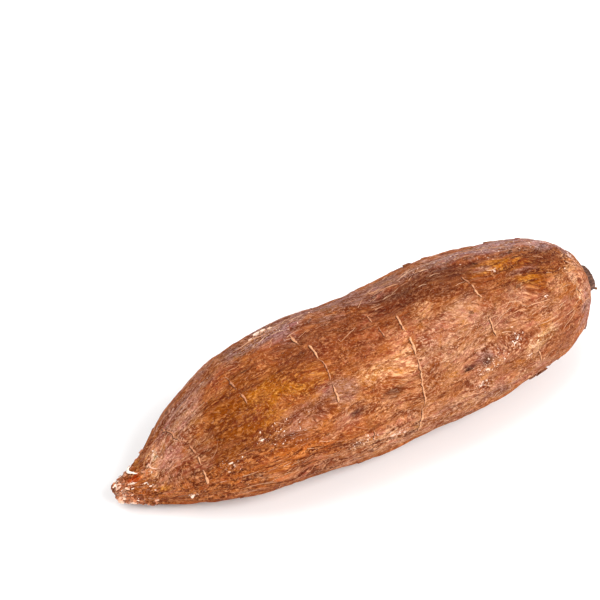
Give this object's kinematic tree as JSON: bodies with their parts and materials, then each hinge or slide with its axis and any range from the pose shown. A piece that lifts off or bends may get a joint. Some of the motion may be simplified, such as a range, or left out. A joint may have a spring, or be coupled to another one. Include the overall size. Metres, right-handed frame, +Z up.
{
  "type": "cassava root",
  "caption": "Whole harvested cassava root, a long swollen tuber with rough brown bark, a stub of woody neck and a snapped thin end, lying on its side.",
  "frame": {"origin": "middle of the footprint on the surface that the root lies on", "axes": "+X along the root from the snapped thin end to the stem end, +Z up"},
  "size_m": [0.2556, 0.0789, 0.0704],
  "materials": {
    "bark": "rough, dry and flaky"
  },
  "bodies": {
    "root": {"cassava_root": "bark"}
  },
  "joints": []
}
